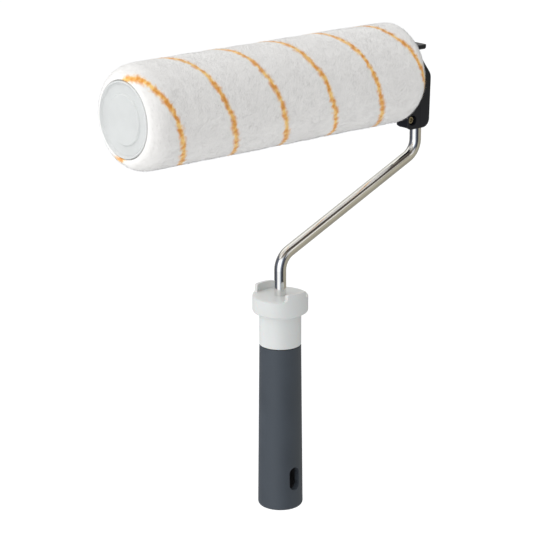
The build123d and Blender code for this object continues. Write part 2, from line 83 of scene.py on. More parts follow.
# Unevenness of the pile: the seed, the number of waves, the shortest and the longest wave, and how much
# longer they are round the axle than along it.
DENTS = (3, 24, 0.018, 0.060, 1.0)
CLUMPS = (5, 60, 0.0020, 0.0060, 3.0)
DRIFT = (7, 20, 0.012, 0.040, 1.0)
# Where the fibres start along the outline, and the share of it that each third covers.
FIBRES_START, FIBRES_SHARE = 0.012, 0.325
# How bright the room looks to glossy surfaces and to the camera.
GLOSSY_LEVEL, CAMERA_LEVEL = 1.25, 1.1
# The room's light from left to right and from below to above, and the boxes' gain from below to above,
# each as a range and its two values. The ceiling takes over from the boxes between two heights.
SIDE_FALL = (-0.9, 0.9, 1.09, 0.40)
HEIGHT_FALL = (-0.6, 0.8, 1.42, 1.13)
BOX_GAIN = (-0.3, 0.1, 1.0, 1.5)
CEILING_EDGE = (0.42, 0.64)
ROOM_WHITE = (0.985, 0.99, 1.0, 1)


# ---------------------------------------------------------------- settings


def length(name, text, value, low=0.0):
    """A distance in metres."""
    return FloatProperty(
        name=name, description=text, default=value, min=low, subtype="DISTANCE", unit="LENGTH", precision=5
    )


def angle(name, text, degrees):
    """An angle, given in degrees and kept in radians."""
    return FloatProperty(
        name=name, description=text, default=math.radians(degrees), subtype="ANGLE", unit="ROTATION"
    )


def share(name, text, value):
    """A number from 0 to 1."""
    return FloatProperty(name=name, description=text, default=value, min=0.0, max=1.0, subtype="FACTOR")


def amount(name, text, value, unit="NONE"):
    """A number from 0 up."""
    return FloatProperty(name=name, description=text, default=value, min=0.0, unit=unit)


def colour(name, text, value):
    """A linear colour."""
    return FloatVectorProperty(
        name=name, description=text, default=value, size=3, min=0.0, max=1.0, subtype="COLOR"
    )


class PileSettings(bpy.types.PropertyGroup):
    """The woven pile and its stripe yarns."""

    nose: length("Nose", "Length of the rounded end at the closed cap", 0.0145)
    tail: length("Tail", "Radius of the rounded end at the casing", 0.0092)
    depth: length("Fibre layer", "How far the fibres stand out of the felted surface", 0.0007)
    fibre_length: length("Fibre length", "Length of one fibre", 0.0022)
    fibre_width: length("Fibre width", "Width of one fibre at its root", 0.00009)
    fibre_count: IntProperty(
        name="Fibres", description="Fibres in each third of the cover", default=46000, min=1000
    )
    lean: angle("Lean", "How far the fibres lie over, round the roller", 71.0)
    dent: length("Dents", "Depth of the soft dents", 0.00015)
    clump: length("Clumps", "Depth of the small clumps", 0.000014)
    crease: length("Crease", "Depth of the soft crease", 0.00040)
    fringe: length("Stripe fringe", "How far a stripe's fibres stray to its sides", 0.00085)
    stripe_gap: length("Stripe spacing", "From one stripe to the next along the axis", 0.0414)
    stripe_start: length("Stripe place", "Where a stripe crosses the front", -0.15035, -1.0)
    stripe_width: length("Stripe width", "Width of a stripe yarn", 0.0028)
    white: colour("Pile colour", "Colour of the undyed pile", (0.868, 0.855, 0.832))
    stripe_light: colour("Stripe colour", "Lighter colour of the stripe yarns", (1.00, 0.655, 0.21))
    stripe_dark: colour("Stripe shade", "Darker colour of the stripe yarns", (0.80, 0.32, 0.045))


class SleeveSettings(bpy.types.PropertyGroup):
    """The cap, core, bearing and plug."""

    cap: colour("Cap colour", "Colour of the translucent cap and plug", (0.69, 0.705, 0.695))
    core: colour("Core colour", "Colour of the core tube", (0.80, 0.80, 0.77))
    cap_roughness: share("Cap roughness", "Roughness of the cap's skin", 0.22)


class RodSettings(bpy.types.PropertyGroup):
    """The plated rod and the small steel parts."""

    plate: colour("Plating", "Colour of the zinc plating", (0.82, 0.81, 0.79))
    plate_roughness: share("Roughness", "Roughness of the plating", 0.11)
    steel: colour("Steel", "Colour of the small steel parts", (0.58, 0.57, 0.55))
    screw: colour("Screw", "Colour of the passivated screw", (0.42, 0.36, 0.25))


class HandleSettings(bpy.types.PropertyGroup):
    """The grip, the collar and the pole socket."""

    grip: colour("Grip colour", "Colour of the soft grip", (0.046, 0.058, 0.073))
    grip_roughness: share("Grip roughness", "Roughness of the soft grip", 0.62)
    grip_grain: length("Grip grain", "Depth of the grip's fine grain", 0.00006)
    collar: colour("Collar colour", "Colour of the light collar", (0.66, 0.675, 0.665))
    liner: colour("Liner colour", "Colour of the socket's liner", (0.02, 0.02, 0.022))


class CasingSettings(bpy.types.PropertyGroup):
    """The black casing, lever and ring."""

    casing: colour("Casing colour", "Colour of the black moulding", (0.012, 0.0135, 0.020))
    casing_roughness: share("Casing roughness", "Roughness of the black moulding", 0.46)
    hub: colour("Hub colour", "Colour of the natural plastic hub", (0.80, 0.79, 0.74))


class StageSettings(bpy.types.PropertyGroup):
    """The camera, the floor and the lights."""

    azimuth: angle("Azimuth", "Turn of the camera round the object", -40.0)
    elevation: angle("Elevation", "Height of the camera as an angle", 16.8)
    roll: angle("Roll", "Turn of the camera about its own view", -0.15)
    distance: length("Distance", "From the camera to the point it looks at", 1.3938)
    aim: FloatVectorProperty(
        name="Aim", description="The point the camera looks at", default=(-0.0119, 0.0, 0.17169), size=3,
        subtype="TRANSLATION", unit="LENGTH",
    )
    lens: FloatProperty(name="Lens", description="Focal length in millimetres", default=142.63, min=10.0)
    floor_drop: length("Floor drop", "How far the floor lies below the handle", 0.32)
    floor: colour("Floor colour", "Colour of the pale floor", (0.96, 0.96, 0.96))
    floor_glow: amount("Floor glow", "Light that the floor gives off", 0.14)
    sky: amount("Surroundings", "Brightness of the room", 1.085)
    key: amount("Key light", "Power of the key light", 9.0, "POWER")
    fill: amount("Fill light", "Power of the fill light", 1.5, "POWER")


# Soft boxes and gaps round the room, from behind the object, past its left side, the camera and its
# right side, and back: the share of the way round and the linear colour seen there.
BOXES = (
    (0.0, (0.42, 0.41, 0.39)),
    (1.0, (0.42, 0.41, 0.39)),
    (0.10, (0.13, 0.13, 0.13)),
    (0.20, (0.055, 0.06, 0.075)),
    (0.305, (0.10, 0.11, 0.14)),
    (0.365, (0.88, 0.89, 0.90)),
    (0.455, (0.94, 0.96, 0.98)),
    (0.505, (0.42, 0.46, 0.54)),
    (0.55, (0.06, 0.07, 0.09)),
    (0.635, (0.02, 0.02, 0.03)),
    (0.675, (0.22, 0.21, 0.175)),
    (0.72, (0.32, 0.30, 0.24)),
    (0.80, (0.28, 0.265, 0.215)),
    (0.90, (0.29, 0.28, 0.25)),
)

# The ceiling seen by glossy surfaces, from behind the object to in front of it.
CEILING = (
    (0.0, (0.60, 0.60, 0.56)),
    (1.0, (0.40, 0.38, 0.33)),
    (0.18, (0.62, 0.62, 0.57)),
    (0.28, (1.00, 1.00, 0.95)),
    (0.36, (0.95, 0.94, 0.88)),
    (0.46, (0.50, 0.47, 0.40)),
    (0.54, (0.20, 0.18, 0.15)),
    (0.62, (0.06, 0.05, 0.045)),
    (0.74, (0.08, 0.07, 0.06)),
)


# ---------------------------------------------------------------- meshes


def mesh_object(name, points, faces, normals=None):
    """A smooth-shaded mesh object from an array of points and an array of faces of one size."""
    points = np.ascontiguousarray(points, np.float32).reshape(-1, 3)
    faces = np.ascontiguousarray(faces, np.int32)
    mesh = bpy.data.meshes.new(name)
    mesh.vertices.add(len(points))
    mesh.vertices.foreach_set("co", points.ravel())
    mesh.loops.add(faces.size)
    mesh.loops.foreach_set("vertex_index", faces.ravel())
    mesh.polygons.add(len(faces))
    mesh.polygons.foreach_set("loop_start", np.arange(len(faces), dtype=np.int32) * faces.shape[1])
    mesh.update(calc_edges=True)
    mesh.polygons.foreach_set("use_smooth", np.ones(len(faces), bool))
    if normals is not None:
        mesh.normals_split_custom_set_from_vertices(np.asarray(normals, np.float32).reshape(-1, 3))
    piece = bpy.data.objects.new(name, mesh)
    bpy.context.scene.collection.objects.link(piece)
    return piece


def ring_faces(rows, columns):
    """Quads of a grid that closes on itself both ways: corner (i, j), then its neighbours, counted round."""
    i, j = np.meshgrid(np.arange(rows), np.arange(columns), indexing="ij")
    i2, j2 = (i + 1) % rows, (j + 1) % columns
    corners = [i * columns + j, i2 * columns + j, i2 * columns + j2, i * columns + j2]
    return np.stack(corners, -1).reshape(-1, 4)


def pile_outline(pile):
    """The pile's section as points (x, radius) from the closed end to the open end: a quarter ellipse
    for the nose, a straight run, a quarter circle for the tail and a flat end."""
    inner = CORE_R + RIM_GAP
    turn = np.linspace(0, np.pi / 2, 40)
    nose = np.stack([
        PILE_LOW.x + pile.nose * (1 - np.cos(turn)), inner + (PILE_R - inner) * np.sin(turn)
    ], 1)
    tail = np.stack([
        PILE_HIGH.x - pile.tail * (1 - np.sin(turn)), PILE_R - pile.tail * (1 - np.cos(turn))
    ], 1)
    end = np.array([[PILE_HIGH.x, inner]])
    return np.concatenate([nose, tail, end])


def along(outline, where):
    """The point and the outward normal at each share of the outline's length, which goes by arc length,
    and the place on the fabric: x on the straight run, and on the ends part of the way from x to the
    length that the fabric would have laid out flat, because it gathers there."""
    step = np.linalg.norm(np.diff(outline, axis=0), axis=1)
    reach = np.concatenate([[0], np.cumsum(step)])
    x = np.interp(where * reach[-1], reach, outline[:, 0])
    r = np.interp(where * reach[-1], reach, outline[:, 1])
    slope = np.gradient(outline, reach, axis=0)
    dx = np.interp(where * reach[-1], reach, slope[:, 0])
    dr = np.interp(where * reach[-1], reach, slope[:, 1])
    size = np.hypot(dx, dr)
    laid = where * reach[-1] - np.interp(0.0, outline[:, 0], reach)
    return x, r, -dr / size, dx / size, x + STRETCH * (laid - x)


def swell(kind, x, turn):
    """A smooth random height, between about -1 and 1: the sum of cosine waves in x and in the angle
    round the axis. Each wave goes round a whole number of times, so the surface closes."""
    seed, waves, low, high, stretch = kind
    rng = np.random.default_rng(seed)
    size = np.exp(rng.uniform(np.log(low), np.log(high), waves))
    aim = rng.uniform(0, 2 * np.pi, waves)
    across = 2 * np.pi / size * np.cos(aim)
    around = np.round(2 * np.pi * PILE_R / size * np.sin(aim) / stretch)
    start = rng.uniform(0, 2 * np.pi, waves)
    height = np.zeros(np.broadcast(x, turn).shape)
    for k in range(waves):
        height += np.cos(across[k] * x + around[k] * turn + start[k])
    return height / math.sqrt(waves)


def felt_height(pile, x, turn):
    """Height of the felted surface over its smooth form: soft dents, small clumps combed round, and one
    soft crease, a bell-shaped groove across a slanting line that fades away from the line's middle."""
    away_x = x - CREASE_X
    away_round = PILE_R * ((turn - CREASE_TURN + np.pi) % (2 * np.pi) - np.pi)
    ahead, aside = np.cos(CREASE_SLANT), np.sin(CREASE_SLANT)
    run = away_x * ahead + away_round * aside
    across = away_round * ahead - away_x * aside
    groove = np.exp(-(across / CREASE_HALF_WIDTH) ** 2 - (run / CREASE_HALF_LENGTH) ** 4)
    uneven = pile.dent * swell(DENTS, x, turn) + pile.clump * swell(CLUMPS, x, turn)
    return uneven - pile.crease * groove


def felt_slope(pile, x, r, turn):
    """How fast felt_height rises along the axle and round it, from its change over a short step."""
    step = 0.0003
    rise = felt_height(pile, x + step, turn) - felt_height(pile, x - step, turn)
    turned = felt_height(pile, x, turn + step / PILE_R) - felt_height(pile, x, turn - step / PILE_R)
    return rise / (2 * step), turned / (2 * step) * PILE_R / r


def round_axle(x, r, turn):
    """Points at x, at radius r from the axle; turn is 0 in front and a quarter turn at the top."""
    return np.stack([x, -r * np.cos(turn), AXLE_Z + r * np.sin(turn)], -1)


def with_vector(piece, name, values):
    """The piece, with a vector kept at each of its points."""
    kept = piece.data.attributes.new(name, "FLOAT_VECTOR", "POINT")
    kept.data.foreach_set("vector", np.ascontiguousarray(values, np.float32).ravel())
    return piece


def felt(pile):
    """The closed felted body under the fibres: the outline moved in by the fibre layer and pushed by
    felt_height, carried round the axle, with the bore as its inner wall."""
    rows, bore_rows, columns = 286, 6, 290
    where = np.linspace(0, 1, rows)[:, None]
    turn = np.linspace(0, 2 * np.pi, columns, endpoint=False)[None, :]
    x, r, nx, nr, flat = along(pile_outline(pile), where)
    fade = np.clip(np.minimum(where / 0.01, (1 - where) / 0.01), 0, 1)
    rise = (felt_height(pile, x, turn) - pile.depth) * fade
    outer = round_axle(x + nx * rise, r + nr * rise, turn + 0 * x)
    back = np.linspace(1, 0, bore_rows + 2)[1:-1, None]
    bore_x = PILE_LOW.x + (PILE_HIGH.x - PILE_LOW.x) * back
    bore = round_axle(bore_x + 0 * turn, CORE_R + BORE_GAP + 0 * bore_x * turn, turn + 0 * bore_x)
    points = np.concatenate([outer, bore])
    piece = mesh_object("pile_felt", points, ring_faces(rows + bore_rows, columns)[:, ::-1])
    yarn_x, yarn_r = np.concatenate([flat, bore_x]), np.concatenate([r, 0 * bore_x + CORE_R])
    yarn = round_axle(yarn_x + 0 * turn, yarn_r, turn)
    return with_vector(piece, "yarn", yarn)


def fibres(pile, name, seed, first, last):
    """Thousands of fibres between two shares of the cover's length. Each is a thin closed spike with
    three root corners and a tip; it starts on the felt and leans round the roller. It is shaded as the
    felt under it is, and takes its colour from a place a little to one side of its root."""
    rng = np.random.default_rng(seed)
    outline = pile_outline(pile)
    count = pile.fibre_count
    even = np.linspace(first, last, 2000)
    weight = np.cumsum(along(outline, even)[1])
    where = np.interp(rng.uniform(weight[0], weight[-1], count), weight, even)
    turn = rng.uniform(0, 2 * np.pi, count)
    x, r, nx, nr, flat = along(outline, where)
    sink = felt_height(pile, x, turn) - pile.depth - ROOT_DEPTH
    root = round_axle(x + nx * sink, r + nr * sink, turn)
    out = np.stack([nx, -nr * np.cos(turn), nr * np.sin(turn)], 1)
    comb = np.stack([0 * turn, np.sin(turn), np.cos(turn)], 1)
    side = np.cross(out, comb)
    lean = pile.lean + rng.normal(0, 0.20, count)
    drift = 0.10 * swell(DRIFT, x, turn) + rng.normal(0, 0.16, count)
    aim = out * np.cos(lean)[:, None] + comb * np.sin(lean)[:, None] + side * (drift * np.sin(lean))[:, None]
    aim /= np.linalg.norm(aim, axis=1)[:, None]
    size = pile.fibre_length * rng.uniform(0.75, 1.1, count)
    tip = root + aim * size[:, None]
    u = np.cross(aim, side)
    u /= np.linalg.norm(u, axis=1)[:, None]
    v = np.cross(aim, u)
    spin = rng.uniform(0, 2 * np.pi, count)
    corners = []
    for third in range(3):
        a = (spin + third * 2 * np.pi / 3)[:, None]
        corners.append(root + (u * np.cos(a) + v * np.sin(a)) * pile.fibre_width / 2)
    points = np.stack(corners + [tip], 1)
    base = 4 * np.arange(count)[:, None]
    faces = np.concatenate([base + f for f in ([0, 1, 3], [1, 2, 3], [2, 0, 3], [0, 2, 1])])
    rise, turned = felt_slope(pile, x, r, turn)
    lie = np.stack([nr, nx * np.cos(turn), -nx * np.sin(turn)], 1)
    out = out - lie * rise[:, None] - comb * turned[:, None]
    shade = out[:, None, :] + 0.15 * (points - points.mean(1, keepdims=True)) / pile.fibre_width
    shade[:, 3] = out
    shade /= np.linalg.norm(shade, axis=2)[:, :, None]
    piece = mesh_object(name, points, faces, shade)
    depth = piece.data.attributes.new("tip", "FLOAT", "POINT")
    depth.data.foreach_set("value", np.tile(np.array([0, 0, 0, 1], np.float32), count))
    stray = rng.normal(0, pile.fringe, count)
    return with_vector(piece, "yarn", np.repeat(round_axle(flat + stray, r, turn), 4, axis=0))


# ---------------------------------------------------------------- node groups


def group(name, inputs, outputs):
    """An empty shader node group; inputs and outputs are (name, kind, default) and (name, kind)."""
    tree = bpy.data.node_groups.new(name, "ShaderNodeTree")
    for socket, kind, value in inputs:
        made = tree.interface.new_socket(socket, in_out="INPUT", socket_type=kind)
        if value is not None:
            made.default_value = value
    for socket, kind in outputs:
        tree.interface.new_socket(socket, in_out="OUTPUT", socket_type=kind)
    return tree, tree.nodes.new("NodeGroupInput").outputs, tree.nodes.new("NodeGroupOutput").inputs


def feed(tree, socket, value):
    """Links another node's socket to an input, or sets the input to a plain value."""
    if isinstance(value, bpy.types.NodeSocket):
        tree.links.new(value, socket)
    else:
        socket.default_value = value


def node(tree, kind, *values, **settings):
    """A node with its settings, and its inputs set or linked in order. None leaves an input alone."""
    made = tree.nodes.new(kind)
    for key, value in settings.items():
        setattr(made, key, value)
    for socket, value in zip(made.inputs, values):
        if value is not None:
            feed(tree, socket, value)
    return made


def maths(tree, operation, *values):
    """The result of a Math node."""
    return node(tree, "ShaderNodeMath", *values, operation=operation).outputs[0]


def mix(tree, how_much, first, second):
    """One colour mixed into another."""
    made = node(tree, "ShaderNodeMix", data_type="RGBA")
    for number, value in ((0, how_much), (6, first), (7, second)):
        feed(tree, made.inputs[number], value)
    return made.outputs[2]


def noise(tree, vector, scale, detail):
    """A Noise Texture's value."""
    made = node(tree, "ShaderNodeTexNoise")
    tree.links.new(vector, made.inputs["Vector"])
    for socket, value in (("Scale", scale), ("Detail", detail)):
        feed(tree, made.inputs[socket], value)
    return made.outputs[0]


def spread(tree, value, low, high, new_low=0.0, new_high=1.0):
    """A value carried from one range to another, held at its ends."""
    made = node(tree, "ShaderNodeMapRange", value, low, high, new_low, new_high)
    return made.outputs[0]


def ramp(tree, value, stops):
    """A colour picked from stops of (place, colour), eased between them."""
    made = node(tree, "ShaderNodeValToRGB", value)
    made.color_ramp.interpolation = "EASE"
    for number, (where, tint) in enumerate(stops):
        stop = made.color_ramp.elements[number] if number < 2 else made.color_ramp.elements.new(where)
        stop.position = where
        stop.color = (*tint, 1)
    return made.outputs[0]


def stripe_group():
    """Spiral stripes: two yarns wound round the axle. The place along the axis, plus the angle round it
    times the lead, is divided by the spacing, and a point is in a stripe near a whole number."""
    tree, given, out = group("Spiral stripes", [
        ("Vector", "NodeSocketVector", None), ("Spacing", "NodeSocketFloat", 0.04),
        ("Start", "NodeSocketFloat", 0.0), ("Width", "NodeSocketFloat", 0.003),
    ], [("Mask", "NodeSocketFloat"), ("Twist", "NodeSocketFloat")])
    wobble = noise(tree, given["Vector"], 330.0, 3.0)
    wander = noise(tree, given["Vector"], 70.0, 2.0)
    beads = noise(tree, given["Vector"], 300.0, 2.0)
    place = node(tree, "ShaderNodeSeparateXYZ", given["Vector"])
    height = maths(tree, "SUBTRACT", place.outputs[2], AXLE_Z)
    front = maths(tree, "MULTIPLY", place.outputs[1], -1.0)
    turn = maths(tree, "ARCTAN2", height, front)
    advance = maths(tree, "MULTIPLY", maths(tree, "DIVIDE", turn, math.pi), given["Spacing"])
    x = maths(tree, "SUBTRACT", maths(tree, "ADD", place.outputs[0], advance), given["Start"])
    x = maths(tree, "ADD", x, maths(tree, "MULTIPLY", maths(tree, "SUBTRACT", wobble, 0.5), 0.0022))
    x = maths(tree, "ADD", x, maths(tree, "MULTIPLY", maths(tree, "SUBTRACT", wander, 0.5), 0.0046))
    off = maths(tree, "PINGPONG", x, maths(tree, "MULTIPLY", given["Spacing"], 0.5))
    half = maths(tree, "MULTIPLY", given["Width"], spread(tree, beads, 0.36, 0.62, 0.42, 0.72))
    mask = node(tree, "ShaderNodeMapRange", off, maths(tree, "MULTIPLY", half, 0.3),
                maths(tree, "MULTIPLY", half, 2.1), 1.0, 0.0, interpolation_type="SMOOTHSTEP")
    tree.links.new(mask.outputs[0], out["Mask"])
    tree.links.new(spread(tree, beads, 0.38, 0.60, 1.0, 0.0), out["Twist"])
    return tree


def grain_group():
    """Fine grain: fractal noise at one scale, as a height."""
    tree, given, out = group("Fine grain", [
        ("Vector", "NodeSocketVector", None), ("Scale", "NodeSocketFloat", 1000.0),
        ("Detail", "NodeSocketFloat", 3.0),
    ], [("Height", "NodeSocketFloat")])
    tree.links.new(noise(tree, given["Vector"], given["Scale"], given["Detail"]), out["Height"])
    return tree


def tone_group():
    """Uneven tone: a colour that drifts a little lighter and darker in broad soft clouds, and a
    roughness that drifts with it."""
    tree, given, out = group("Uneven tone", [
        ("Vector", "NodeSocketVector", None), ("Colour", "NodeSocketColor", (0.5, 0.5, 0.5, 1)),
        ("Amount", "NodeSocketFloat", 0.1), ("Scale", "NodeSocketFloat", 30.0),
        ("Roughness", "NodeSocketFloat", 0.4), ("Roughness drift", "NodeSocketFloat", 0.05),
    ], [("Colour", "NodeSocketColor"), ("Roughness", "NodeSocketFloat")])
    cloud = spread(tree, noise(tree, given["Vector"], given["Scale"], 4.0), 0.3, 0.7, -1.0, 1.0)
    gain = maths(tree, "ADD", maths(tree, "MULTIPLY", cloud, given["Amount"]), 1.0)
    scaled = node(tree, "ShaderNodeVectorMath", given["Colour"], operation="SCALE")
    tree.links.new(gain, scaled.inputs["Scale"])
    tree.links.new(scaled.outputs[0], out["Colour"])
    rough = maths(tree, "ADD", maths(tree, "MULTIPLY", cloud, given["Roughness drift"]), given["Roughness"])
    tree.links.new(rough, out["Roughness"])
    return tree


def shared(name, build):
    """The node group of that name, built the first time it is asked for."""
    return bpy.data.node_groups.get(name) or build()


# ---------------------------------------------------------------- materials


def start_material(name):
    """A material with its Principled shader and the piece's Object coordinates."""
    material = bpy.data.materials.new(name)
    material.use_nodes = True
    tree = material.node_tree
    shader = tree.nodes["Principled BSDF"]
    place = tree.nodes.new("ShaderNodeTexCoord").outputs["Object"]
    return material, tree, shader, place


def use_group(tree, name, build, place, **values):
    """One of the shared groups placed in a material, with its own values."""
    made = tree.nodes.new("ShaderNodeGroup")
    made.node_tree = shared(name, build)
    tree.links.new(place, made.inputs["Vector"])
    for key, value in values.items():
        feed(tree, made.inputs[key.replace("_", " ")], value)
    return made.outputs


def bump(tree, shader, height, depth):
    """A Bump node that feeds the shader's normal; depth is in metres."""
    made = node(tree, "ShaderNodeBump")
    made.inputs["Distance"].default_value = depth
    tree.links.new(height, made.inputs["Height"])
    tree.links.new(made.outputs[0], shader.inputs["Normal"])


def moulding(name, tint, roughness, tone=0.06, tone_scale=25.0, grain=900.0, depth=0.00002, drift=0.05):
    """Moulded plastic or rubber: uneven tone, drifting roughness and a fine grain."""
    material, tree, shader, place = start_material(name)
    tones = use_group(
        tree, "Uneven tone", tone_group, place, Colour=(*tint, 1), Amount=tone, Scale=tone_scale,
        Roughness=roughness, Roughness_drift=drift,
    )
    tree.links.new(tones["Colour"], shader.inputs["Base Color"])
    tree.links.new(tones["Roughness"], shader.inputs["Roughness"])
    fine = use_group(tree, "Fine grain", grain_group, place, Scale=grain, Detail=3.0)
    bump(tree, shader, fine["Height"], depth)
    return material, shader


def plated(name, tint, roughness, streak=(1.0, 1.0, 1.0), depth=0.000004):
    """Plated or plain steel: a mottled tone and fine drawing marks."""
    material, tree, shader, place = start_material(name)
    shader.inputs["Metallic"].default_value = 1.0
    tones = use_group(
        tree, "Uneven tone", tone_group, place, Colour=(*tint, 1), Amount=0.05, Scale=70.0,
        Roughness=roughness, Roughness_drift=0.05,
    )
    tree.links.new(tones["Colour"], shader.inputs["Base Color"])
    tree.links.new(tones["Roughness"], shader.inputs["Roughness"])
    stretched = node(tree, "ShaderNodeMapping", place)
    stretched.inputs["Scale"].default_value = streak
    fine = use_group(tree, "Fine grain", grain_group, stretched.outputs[0], Scale=1400.0, Detail=2.0)
    bump(tree, shader, fine["Height"], depth)
    return material


def pile_material(name, pile, fibre):
    """White pile with two orange yarns wound into it. The fibres are darker at their roots, a painted shade
    down among the fibres; the felt has a fine combed relief."""
    material, tree, shader = start_material(name)[:3]
    place = node(tree, "ShaderNodeAttribute", attribute_name="yarn").outputs["Vector"]
    stripes = use_group(
        tree, "Spiral stripes", stripe_group, place, Spacing=pile.stripe_gap, Start=pile.stripe_start,
        Width=pile.stripe_width,
    )
    tones = use_group(
        tree, "Uneven tone", tone_group, place, Colour=(*pile.white, 1), Amount=0.025, Scale=160.0,
        Roughness=0.85, Roughness_drift=0.05,
    )
    orange = mix(tree, stripes["Twist"], (*pile.stripe_dark, 1), (*pile.stripe_light, 1))
    dyed = mix(tree, stripes["Mask"], tones["Colour"], orange)
    if fibre:
        # Painted shade: a fibre's colour falls to 0.96 of itself at its root, darker down among the fibres.
        tip = node(tree, "ShaderNodeAttribute", attribute_name="tip").outputs["Fac"]
        root = node(tree, "ShaderNodeVectorMath", dyed, operation="SCALE")
        tree.links.new(spread(tree, tip, 0.0, 0.7, 0.96, 1.0), root.inputs["Scale"])
        dyed = root.outputs[0]
    else:
        combed = node(tree, "ShaderNodeMapping", place)
        combed.inputs["Scale"].default_value = (1.0, 0.25, 0.25)
        fine = use_group(tree, "Fine grain", grain_group, combed.outputs[0], Scale=2600.0, Detail=4.0)
        bump(tree, shader, fine["Height"], 0.0001)
    tree.links.new(dyed, shader.inputs["Base Color"])
    tree.links.new(tones["Roughness"], shader.inputs["Roughness"])
    shader.inputs["Specular IOR Level"].default_value = 0.15
    shader.inputs["Sheen Weight"].default_value = 0.25
    shader.inputs["Sheen Roughness"].default_value = 0.6
    return material


def wear(material, *names):
    """Gives CAD nodes a material."""
    for name in names:
        slots = NODES[name].material_slots
        if not slots:
            NODES[name].data.materials.append(material)
        for slot in slots:
            slot.material = material


# ---------------------------------------------------------------- operators


class ROLLER_OT_stage(bpy.types.Operator):
    """Makes the camera, the pale floor, the room's light and two soft lamps"""

    bl_idname = "roller.stage"
    bl_label = "Stage"

    def execute(self, context):
        stage = context.scene.roller_stage
        context.scene.view_settings.view_transform = "Standard"
        lens = bpy.data.cameras.new("camera")
        lens.lens = stage.lens
        lens.sensor_width = 36.0
        lens.clip_end = 50.0
        camera = bpy.data.objects.new("camera", lens)
        context.scene.collection.objects.link(camera)
        level = math.cos(stage.elevation)
        back = Vector((
            math.sin(stage.azimuth) * level, -math.cos(stage.azimuth) * level, math.sin(stage.elevation)
        ))
        camera.location = Vector(stage.aim) + back * stage.distance
        look = (-back).to_track_quat("-Z", "Y")
        camera.rotation_mode = "QUATERNION"
        camera.rotation_quaternion = look @ Quaternion((0, 0, 1), stage.roll)
        context.scene.camera = camera
        self.floor(stage)
        self.room(context, stage)
        right = Vector((math.cos(stage.azimuth), math.sin(stage.azimuth), 0))
        up = Vector((0, 0, 1))
        centre = Vector(stage.aim)
        self.lamp(context, "key_lamp", centre + back * 0.9 - right * 1.5 + up * 1.7, centre, 1.3, stage.key)
        self.lamp(context, "fill_lamp", centre + back * 1.2 + right * 1.5 + up * 0.4, centre, 0.9, stage.fill)
        return {"FINISHED"}

    def floor(self, stage):
        """A flat square under the object."""
        half = 12.0
        low = CAD_BOX[0][2] - stage.floor_drop
        points = np.array([[-half, -half, low], [half, -half, low], [half, half, low], [-half, half, low]])
        floor = mesh_object("floor", points, np.array([[0, 1, 2, 3]]))
        material, tree, shader, place = start_material("floor paper")
        paper = use_group(
            tree, "Uneven tone", tone_group, place, Colour=(*stage.floor, 1), Amount=0.004, Scale=2.0,
            Roughness=0.9, Roughness_drift=0.02,
        )
        tree.links.new(paper["Colour"], shader.inputs["Base Color"])
        tree.links.new(paper["Roughness"], shader.inputs["Roughness"])
        shader.inputs["Emission Strength"].default_value = stage.floor_glow
        floor.data.materials.append(material)
        floor.visible_glossy = False
        floor.visible_diffuse = False

    def room(self, context, stage):
        """The room's light falls off to the camera's right, and seen directly it is white. Glossy
        surfaces see soft boxes with dark gaps between them: the bearing from the camera picks the box,
        and high up there is a ceiling."""
        world = bpy.data.worlds.new("room")
        context.scene.world = world
        world.use_nodes = True
        tree = world.node_tree
        place = tree.nodes.new("ShaderNodeTexCoord").outputs["Generated"]
        sine, cosine = math.sin(stage.azimuth), math.cos(stage.azimuth)
        right = node(tree, "ShaderNodeVectorMath", place, (cosine, sine, 0), operation="DOT_PRODUCT").outputs[1]
        near = node(tree, "ShaderNodeVectorMath", place, (sine, -cosine, 0), operation="DOT_PRODUCT").outputs[1]
        height = node(tree, "ShaderNodeSeparateXYZ", place).outputs[2]
        soft = spread(tree, right, *SIDE_FALL)
        soft = maths(tree, "MULTIPLY", soft, spread(tree, height, *HEIGHT_FALL))
        bearing = spread(tree, maths(tree, "ARCTAN2", right, near), -math.pi, math.pi)
        boxes = node(tree, "ShaderNodeVectorMath", ramp(tree, bearing, BOXES), operation="SCALE")
        tree.links.new(spread(tree, height, *BOX_GAIN), boxes.inputs["Scale"])
        above = ramp(tree, spread(tree, near, -1.0, 1.0), CEILING)
        seen = mix(tree, spread(tree, height, *CEILING_EDGE), boxes.outputs[0], above)
        light_path = tree.nodes.new("ShaderNodeLightPath").outputs
        glossy = light_path["Is Glossy Ray"]
        room = tree.nodes["Background"]
        tree.links.new(mix(tree, glossy, ROOM_WHITE, seen), room.inputs["Color"])
        level = node(tree, "ShaderNodeMix", glossy)
        soft = maths(tree, "MULTIPLY", soft, stage.sky)
        seen_straight = maths(tree, "MULTIPLY", light_path["Is Camera Ray"], CAMERA_LEVEL)
        tree.links.new(maths(tree, "MAXIMUM", soft, seen_straight), level.inputs[2])
        level.inputs[3].default_value = GLOSSY_LEVEL
        tree.links.new(level.outputs[0], room.inputs["Strength"])

    def lamp(self, context, name, place, target, size, power):
        """A soft square lamp that faces the object."""
        light = bpy.data.lights.new(name, "AREA")
        light.shape = "SQUARE"
        light.size = size
        light.energy = power
        lamp = bpy.data.objects.new(name, light)
        lamp.location = place
        lamp.rotation_mode = "QUATERNION"
        lamp.rotation_quaternion = (target - place).to_track_quat("-Z", "Y")
        context.scene.collection.objects.link(lamp)


class ROLLER_OT_pile(bpy.types.Operator):
    """Makes the pile cover: its felted body and its fibres, with the two stripe yarns"""

    bl_idname = "roller.pile"
    bl_label = "Pile cover"

    def execute(self, context):
        pile = context.scene.roller_pile
        body = felt(pile)
        body.data.materials.append(pile_material("pile felt", pile, False))
        tufts = pile_material("pile fibres", pile, True)
        pieces = [body]
        for number, name in enumerate(("outer", "middle", "inner")):
            start = FIBRES_START + number * FIBRES_SHARE
            piece = fibres(pile, f"pile_fibres_{name}", 11 + number, start, start + FIBRES_SHARE)
            piece.data.materials.append(tufts)
            pieces.append(piece)
        for piece in pieces:
            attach(piece, "sleeve")
            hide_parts("pile_cover")
        return {"FINISHED"}


